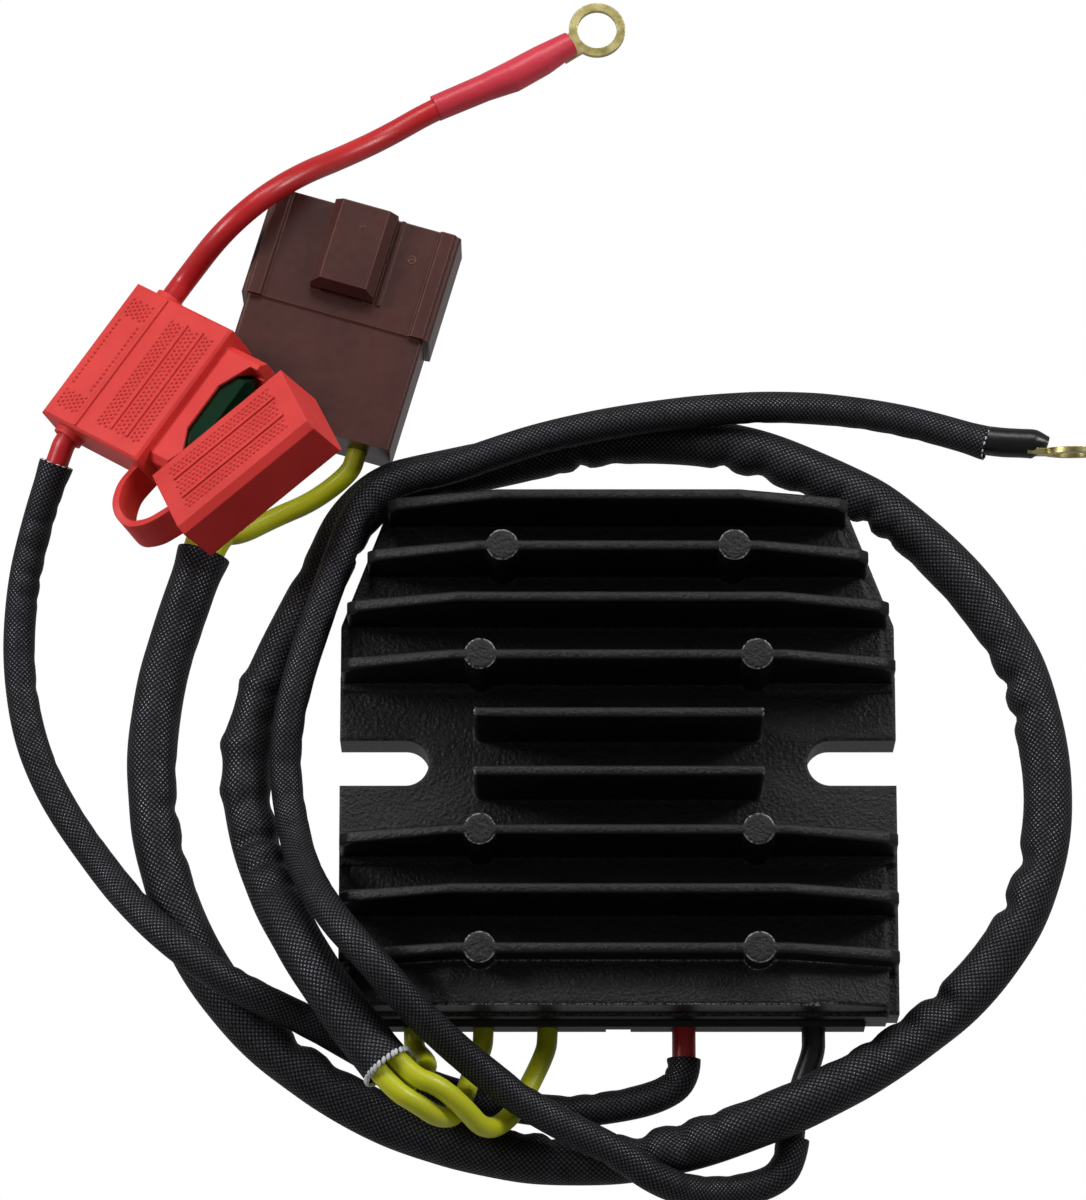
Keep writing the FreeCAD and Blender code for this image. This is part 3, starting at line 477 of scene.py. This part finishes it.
# Plug wires: the same three yellow wires. They come out of the sleeve's far end, under the fuse holder's
# cap, and spread to the connector's three holes. The thick sleeve has them and the connector on its end.
PLUG_WIRES = [
    [(-72.0, 46.4, 3.2), (-69.0, 52.2, 3.8)],
    [(-67.2, 46.6, 1.9), (-61.4, 50.6, 3.4)],
    [(-65.4, 41.8, 3.6), (-59.3, 45.4, 2.4), (-52.6, 48.2, 2.8)],
]
PLUG_TURNS = (150, 270, 30)
PLUG_HOLE_PITCH = 10.0
PLUG_HOLE_Z = 5.1
plug_frame = Matrix.Translation((-54.7, 59.3, 0.0)) @ Matrix.Rotation(math.radians(-16.3), 4, "Z")
plug_pieces = [nodes["stator_connector"]] + [nodes["connector_terminal_" + str(i + 1)] for i in range(3)]
for i, route in enumerate(PLUG_WIRES):
    start, inwards = bundled(STATOR_SLEEVE[::-1], PLUG_TURNS[i])
    x = (i - 1) * PLUG_HOLE_PITCH
    hole = [tuple(plug_frame @ Vector((x, y, PLUG_HOLE_Z))) for y in (-4.0, -0.8, 4.0)]
    route = [tuple(start + inwards * INTO_MOUTH), tuple(start - inwards * BUNDLE_LEAD)] + route + hole
    name = "plug_wire_" + str(i + 1)
    wire, _ = tube(name + "_insulation", route, STATOR_WIRE_D, yellow_skin, step=0.5)
    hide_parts(name)
    plug_pieces.append(wire)


# Connector: a three-way housing moulded in brown nylon, with a locking tongue on top. It is semi-glossy,
# its rounded corners carry a painted highlight in lighter brown, and two small round marks show where the
# mould's pins stood. Its three flat terminals are tinned copper.
def brown_nylon():
    """Moulded nylon whose corners are rounded by 0.35 mm, with a highlight painted lighter there."""
    material = moulded("brown_nylon", "42211d", "4c2823", 0.33, edge=0.3, grain=1.6, depth=0.01)
    tree = material.node_tree
    shader = tree.nodes["Principled BSDF"]
    flat = add(tree, "NewGeometry", out="Normal")
    rounded = add(tree, "Bevel", {"Radius": 0.00035}, samples=4)
    same = add(tree, "VectorMath", {0: flat, 1: rounded}, out="Value", operation="DOT_PRODUCT")
    # The corner mask: lighter brown painted on the rounded corners as a highlight.
    corner = add(tree, "MapRange", {"Value": same, "From Min": 0.995, "From Max": 0.90})
    base = shader.inputs["Base Color"].links[0].from_socket
    colour = add(tree, "Mix", {"Factor": corner, 6: base, 7: linear("7d4f45")}, out=2, data_type="RGBA")
    tree.links.new(colour, shader.inputs["Base Color"])
    return material


def moulding_mark(name, place, radius):
    """A shallow round mark with a raised middle, in the connector's own frame and in millimetres."""
    x, y, z = place
    profile = [(1.0, -0.05), (0.92, 0.07), (0.70, 0.07), (0.62, 0.01), (0.34, 0.01), (0.26, 0.09)]
    top_rise = 0.11
    sides = 20
    mark = bmesh.new()
    rings = []
    for share, rise in profile:
        reach = radius * share
        ring = []
        for i in range(sides):
            turn = 2 * math.pi * i / sides
            spot = Vector((x + reach * math.cos(turn), y + reach * math.sin(turn), z + rise))
            ring.append(mark.verts.new(plug_frame @ spot * 0.001))
        rings.append(ring)
    top = mark.verts.new(plug_frame @ Vector((x, y, z + top_rise)) * 0.001)
    for low_ring, high_ring in zip(rings, rings[1:]):
        for i in range(sides):
            j = (i + 1) % sides
            mark.faces.new((low_ring[i], low_ring[j], high_ring[j], high_ring[i]))
    for i in range(sides):
        mark.faces.new((rings[-1][i], rings[-1][(i + 1) % sides], top))
    mark.faces.new(rings[0][::-1])
    mesh = bpy.data.meshes.new(name)
    mark.to_mesh(mesh)
    mark.free()
    new_piece(name, mesh, nylon)


nylon = brown_nylon()
dress(nylon, "stator_connector")
moulding_mark("collar_moulding_mark", (9.9, 34.1, 11.8), 0.9)
moulding_mark("latch_moulding_mark", (0.4, 36.4, 15.8), 0.5)


def plated(name, low, high, roughness):
    """Thin metal plating, with faint stains 2.5 mm across and edges rounded by 0.15 mm."""
    material, tree, shader = new_surface(name, Metallic=1.0)
    place = add(tree, "TexCoord", out="Object")
    stain = add(tree, "TexNoise", {"Vector": place, "Scale": per_mm(2.5), "Detail": 4.0})
    shade = add(tree, "MapRange", {"Value": stain, "From Min": 0.3, "From Max": 0.7})
    colour = add(tree, "Mix", {"Factor": shade, 6: linear(low), 7: linear(high)}, out=2, data_type="RGBA")
    gloss = add(tree, "MapRange", {"Value": stain, "To Min": roughness - 0.08, "To Max": roughness + 0.1})
    rounded = add(tree, "Bevel", {"Radius": 0.00015}, samples=4)
    tree.links.new(colour, shader.inputs["Base Color"])
    tree.links.new(gloss, shader.inputs["Roughness"])
    tree.links.new(rounded, shader.inputs["Normal"])
    return material


tinned_copper = plated("tinned_copper", "a9aaa6", "c6c6c2", 0.3)
dress(tinned_copper, "connector_terminal_1", "connector_terminal_2", "connector_terminal_3")


# Positive lead: a 4 mm red wire that comes out of the guide, runs in a thin braided sleeve along the floor
# and over the thick one, and shows again for a few millimetres at the fuse holder. White thread ends of the
# braid show there.
THIN_SLEEVE_D = 5.5
BATTERY_WIRE_D = 4.0
POSITIVE_SLEEVE = [
    (11.1, -50.2, 2.75), (11.1, -53.9, 2.75), (6.6, -56.8, 2.75), (-1.1, -58.5, 2.75),
    (-9.9, -59.4, 2.75), (-19.2, -58.1, 2.75), (-27.7, -56.4, 2.75), (-35.3, -53.4, 2.75),
    (-43.5, -49.0, 3.8), (-51.9, -44.8, 7.4), (-60.2, -41.6, 11.4), (-67.8, -37.6, 12.6),
    (-75.5, -31.8, 12.4), (-82.6, -24.5, 8.4), (-88.5, -16.6, 3.6), (-94.5, -8.0, 2.75),
    (-99.5, 1.1, 2.75), (-102.5, 11.7, 2.75), (-103.4, 22.4, 2.75), (-102.8, 33.0, 2.75),
    (-101.0, 41.6, 4.0), (-98.7, 48.9, 6.6), (-97.0, 53.4, 8.0),
]
# How far the wire's end lies in the sleeve's mouth, and how far it runs straight out of it.
INTO_THIN_MOUTH = 2.8
OUT_OF_THIN_MOUTH = 2.4
# The place of the fuse holder's wire ports on its ends, and how it lies on the floor.
PORT_X = 5.0
PORT_Z = 4.2
HOLDER_PLACE = (-96.6, 60.05, 3.1)
HOLDER_TURN = math.radians(-34.8)
HOLDER_TILT = math.radians(-27.2)
holder_frame = (Matrix.Translation(HOLDER_PLACE) @ Matrix.Rotation(HOLDER_TURN, 4, "Z")
                @ Matrix.Rotation(HOLDER_TILT, 4, "Y"))
red_skin = moulded("red_insulation", "b51a1e", "c62428", 0.34, grain=2.0, Subsurface_Weight=0.08,
                   Subsurface_Scale=0.001)
thin_braid = braided_filament("thin_braid", strands=20, pitch=0.84)
positive_folds = folds(spacing=4.6, depth=0.09, lumps=0.03, flare_start=0.04, flare_end=0.10)
stub_route = [(11.1, -41.5, 2.75), (11.1, -46.0, 2.75), (11.1, -52.0, 2.75)]
stub, _ = tube("positive_wire_insulation", stub_route, BATTERY_WIRE_D, red_skin)
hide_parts("positive_wire")
positive_sleeve, positive_line = tube("positive_sleeve_braid", POSITIVE_SLEEVE, THIN_SLEEVE_D, thin_braid,
                                      step=0.6, sides=32, shape=positive_folds, mouth=2.4)
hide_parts("positive_sleeve")
sleeve_end = Vector(POSITIVE_SLEEVE[-1])
heading = (sleeve_end - Vector(POSITIVE_SLEEVE[-2])).normalized()
port = [tuple(holder_frame @ Vector((PORT_X, y, PORT_Z))) for y in (-2.0, 2.0)]
end_route = [tuple(sleeve_end - heading * INTO_THIN_MOUTH),
             tuple(sleeve_end + heading * OUT_OF_THIN_MOUTH)] + port
wire_end, _ = tube("positive_wire_end_insulation", end_route, BATTERY_WIRE_D, red_skin,
                   step=0.4)
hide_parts("positive_wire_end")
positive_rim = bound_rim("positive_sleeve_rim", sleeve_end, heading, radius=2.85, count=13,
                         stitch=(0.9, 0.35), slant=0.0, material=silver_thread)
holder_names = ("fuse_holder", "fuse_body", "fuse_element", "fuse_clip_1", "fuse_clip_2")
holder_pieces = [nodes[name] for name in holder_names]


# Fuse holder: body, strap and cap are one moulding in soft red PVC, satin, with fine pointed grips in bands
# between the ribs. The fuse is clear dark green plastic over a thin metal element, and two tinned clips
# hold it.
def frame_at(origin, x_axis, y_axis):
    """The matrix whose X and Y axes point as given, with its origin at a point."""
    x = Vector(x_axis).normalized()
    z = x.cross(Vector(y_axis)).normalized()
    return Matrix.Translation(origin) @ Matrix((x, z.cross(x), z)).transposed().to_4x4()


def grips(name, place, z, fields):
    """
    Rows of small pyramids that fill fields (x0, x1, y0, y1) on a face at a height, all in millimetres. They
    lean to one side a little, and every second row is set off by half a pitch.
    """
    pitch, row, half, rise, sunk, lean = 0.9, 0.78, 0.42, 0.3, 0.05, 0.1
    vertices, faces = [], []
    for x0, x1, y0, y1 in fields:
        rows = max(1, round((x1 - x0) / row))
        for r in range(rows):
            x = x0 + (r + 0.5) * (x1 - x0) / rows
            first = y0 + pitch * (0.25 if r % 2 else 0.75)
            for c in range(int((y1 - first) / pitch + 0.6)):
                y = first + c * pitch
                k = len(vertices)
                base = [(x - half, y, z - sunk), (x, y - half, z - sunk), (x + half, y, z - sunk),
                        (x, y + half, z - sunk), (x - lean, y, z + rise)]
                vertices += [place @ Vector(v) * 0.001 for v in base]
                faces += [(k, k + 3, k + 2, k + 1), (k, k + 1, k + 4), (k + 1, k + 2, k + 4),
                          (k + 2, k + 3, k + 4), (k + 3, k, k + 4)]
    mesh = bpy.data.meshes.new(name)
    mesh.from_pydata(vertices, [], faces)
    return new_piece(name, mesh, soft_red)


soft_red = moulded("soft_red_pvc", "d2302c", "df3a35", 0.48, edge=0.35, grain=1.5, depth=0.02,
                   Subsurface_Weight=0.12, Subsurface_Scale=0.0015)
dress(soft_red, "fuse_holder")
body_fields = [(11.4, 14.3, 2.7, 25.6), (15.7, 18.3, 2.7, 25.6), (19.6, 22.0, 2.7, 25.6),
               (1.5, 2.4, 6.8, 21.8), (6.0, 6.9, 6.8, 21.8), (1.5, 6.9, 2.4, 6.4), (1.5, 6.9, 22.2, 26.2)]
holder_pieces.append(grips("holder_body_grips", holder_frame, 8.4, body_fields))
cap_frame = frame_at((-79.6, 47.7, 20.6), (5.2, -11.7, 7.1), (22.1, 15.8, 9.8))
cap_fields = [(1.2, 3.6, 3.0, 26.0), (4.9, 8.2, 3.0, 26.0), (9.6, 12.0, 3.0, 26.0)]
holder_pieces.append(grips("holder_cap_grips", cap_frame, 0.0, cap_fields))
fuse_plastic = moulded("clear_green_plastic", "04301c", "0a4a2c", 0.10, edge=0.25, grain=3.0,
                       Transmission_Weight=0.55, IOR=1.57)
dress(fuse_plastic, "fuse_body")
dress(tinned_copper, "fuse_element", "fuse_clip_1", "fuse_clip_2")


# Battery wire: 4 mm red wire from the fuse holder, crimped into a ring terminal plated in brass yellow. A
# pink-red heat-shrink tube, satin and a little uneven, covers the crimp and swells over it.
BATTERY_WIRE = [
    (-68.6, 92.6, 16.6), (-61.6, 98.6, 18.0), (-54.8, 104.2, 14.5), (-48.1, 109.4, 8.0),
    (-40.4, 114.8, 3.6), (-31.8, 120.4, 2.75), (-23.1, 124.3, 2.75),
]
port = [tuple(holder_frame @ Vector((PORT_X, y, PORT_Z))) for y in (26.5, 30.4, 34.5)]
battery_wire, battery_line = tube("battery_wire_insulation", port + BATTERY_WIRE, BATTERY_WIRE_D, red_skin)
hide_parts("battery_wire")
pink_shrink = moulded("pink_heat_shrink", "c4303f", "d63c4c", 0.36, grain=2.2, depth=0.12,
                      Subsurface_Weight=0.08, Subsurface_Scale=0.001)
dress(pink_shrink, "battery_heat_shrink")
brass_plating = plated("brass_plating", "b3a564", "e2d79a", 0.32)
dress(brass_plating, "battery_ring_terminal", "ground_ring_terminal")


# Ground lead: a black wire in a thin braided sleeve that passes over the thick one and runs around the
# housing to a ring terminal that stands on its edge. Black heat-shrink covers the crimp, and the braid's
# cut end shows white threads.
GROUND_WIRE = [(33.1, -41.5, 2.75), (33.1, -46.6, 2.75), (33.1, -49.0, 2.75), (31.0, -54.6, 2.5),
               (29.9, -59.4, 2.75), (29.4, -63.9, 2.75), (29.2, -65.9, 2.75)]
GROUND_SLEEVE = [
    (29.4, -63.9, 2.75), (28.9, -68.4, 2.75), (25.2, -71.6, 2.75), (19.2, -72.9, 2.75),
    (12.5, -73.4, 5.2), (6.0, -72.0, 10.4), (-0.3, -67.8, 12.6), (-8.3, -64.0, 13.4),
    (-16.3, -59.5, 13.6), (-23.7, -54.0, 16.0), (-30.3, -49.3, 21.5), (-36.2, -44.1, 27.0),
    (-42.4, -37.2, 29.0), (-48.6, -29.5, 25.0), (-53.3, -19.8, 15.5), (-55.7, -10.1, 9.0),
    (-56.9, -1.7, 8.6), (-56.4, 6.6, 10.8), (-54.4, 15.4, 11.9), (-51.4, 24.8, 11.9),
    (-48.2, 34.4, 11.9), (-44.8, 44.4, 11.9), (-38.4, 49.4, 11.9), (-29.6, 51.2, 11.9),
    (-21.4, 54.2, 11.9), (-12.4, 57.2, 11.9), (-0.9, 59.7, 11.9), (10.9, 61.5, 11.8),
    (22.2, 63.1, 10.0), (32.8, 64.2, 6.0), (42.5, 64.1, 3.2), (51.2, 62.6, 2.9),
    (58.1, 60.3, 3.8), (64.4, 58.1, 4.8),
]
black_skin = moulded("black_insulation", "0e0e0f", "161617", 0.36, grain=2.0)
ground_folds = folds(spacing=5.0, depth=0.09, lumps=0.035, flare_start=0.05, flare_end=0.09)
ground_wire, _ = tube("ground_wire_insulation", GROUND_WIRE, BATTERY_WIRE_D, black_skin)
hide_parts("ground_wire")
ground_sleeve, ground_line = tube("ground_sleeve_braid", GROUND_SLEEVE, THIN_SLEEVE_D, thin_braid,
                                  step=0.6, sides=32, shape=ground_folds, mouth=2.4)
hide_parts("ground_sleeve")
rim_heading = Vector(GROUND_SLEEVE[-1]) - Vector(GROUND_SLEEVE[-2])
ground_rim = bound_rim("ground_sleeve_rim", GROUND_SLEEVE[-1], rim_heading, radius=2.9, count=15,
                       stitch=(0.7, 0.3), slant=0.0, material=silver_thread)


def pinched(along, left, out, bend, point):
    """The heat-shrink's shape: round in the sleeve and drawn in over the crimp, most on the wire side."""
    crimp_start, crimp_slope = 10.2, 2.0
    near_crimp = min(1.0, max(0.0, (along - crimp_start) / crimp_slope))
    wire_side = max(0.0, -out.y)
    return 1.0 - near_crimp * (0.22 + 0.42 * wire_side) - 0.04 * noise.noise(point / 3.0)


SHRINK_D = 5.1
SHRINK_ROUTE = [
    (62.6, 58.9, 4.7), (66.2, 58.1, 5.4), (70.4, 57.9, 5.5), (72.6, 57.8, 5.5), (74.6, 57.2, 5.3),
]
black_shrink = moulded("black_heat_shrink", "0a0a0b", "141415", 0.34, grain=2.2, depth=0.12)
ground_shrink, _ = tube("ground_heat_shrink_tube", SHRINK_ROUTE, SHRINK_D, black_shrink,
                        step=0.4, sides=28, shape=pinched)
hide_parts("ground_heat_shrink")


# Studio: white paper, a dim room and three soft lamps. The camera sees paper and room as pure white, also
# through clear plastic. Mirrored paper is greyer, so that black walls stay black, and the light that
# bounces off the paper still has the part's shadow in it.
floor_mesh = bpy.data.meshes.new("floor")
half_paper = 1.5
paper_z = -0.0004
corners = [(-half_paper, -half_paper, 0), (half_paper, -half_paper, 0), (half_paper, half_paper, 0),
           (-half_paper, half_paper, 0)]
floor_mesh.from_pydata(corners, [], [(0, 1, 2, 3)])
floor = bpy.data.objects.new("floor", floor_mesh)
floor.location.z = paper_z
scene.collection.objects.link(floor)
paper, tree, shader = new_surface("white_paper", Roughness=0.9, Base_Color=linear("d8d8d8"))
rays = add(tree, "LightPath").node.outputs
seen = add(tree, "Math", {0: rays["Is Camera Ray"], 1: rays["Is Transmission Ray"]}, operation="MAXIMUM")
seen = add(tree, "Math", {0: seen, 1: rays["Is Glossy Ray"]}, operation="MAXIMUM")
bright = add(tree, "MapRange", {"Value": rays["Is Glossy Ray"], "To Min": 1.0, "To Max": 0.3})
white = add(tree, "Emission", {"Color": (1.0, 1.0, 1.0, 1.0), "Strength": bright})
both = add(tree, "MixShader", {"Fac": seen, 1: shader.outputs["BSDF"], 2: white})
tree.links.new(both, tree.nodes["Material Output"].inputs["Surface"])
floor_mesh.materials.append(paper)

room = bpy.data.worlds.new("studio")
room.use_nodes = True
tree = room.node_tree
background = tree.nodes["Background"]
background.inputs["Color"].default_value = (1, 1, 1, 1)
rays = add(tree, "LightPath").node.outputs
seen = add(tree, "Math", {0: rays["Is Camera Ray"], 1: rays["Is Transmission Ray"]}, operation="MAXIMUM")
glow = add(tree, "MapRange", {"Value": seen, "To Min": 0.15, "To Max": 1.0})
tree.links.new(glow, background.inputs["Strength"])
scene.world = room


def softbox(name, place, size_x, size_y, power):
    """A rectangular lamp that faces the middle of the part, in metres and watts."""
    lamp = bpy.data.lights.new(name, "AREA")
    lamp.shape = "RECTANGLE"
    lamp.size = size_x
    lamp.size_y = size_y
    lamp.energy = power
    holder = bpy.data.objects.new(name, lamp)
    holder.location = place
    target = mm(-10.0, 30.0, 0.0)
    holder.rotation_euler = (target - Vector(place)).to_track_quat("-Z", "Y").to_euler()
    scene.collection.objects.link(holder)


softbox("left_softbox", (-0.85, 0.30, 0.66), size_x=0.30, size_y=0.30, power=5.6)
softbox("right_softbox", (0.80, 0.48, 0.66), size_x=0.30, size_y=0.30, power=4.8)
softbox("back_softbox", (0.0, 0.92, 0.86), size_x=0.9, size_y=0.4, power=6.5)

scene.view_settings.view_transform = "Standard"
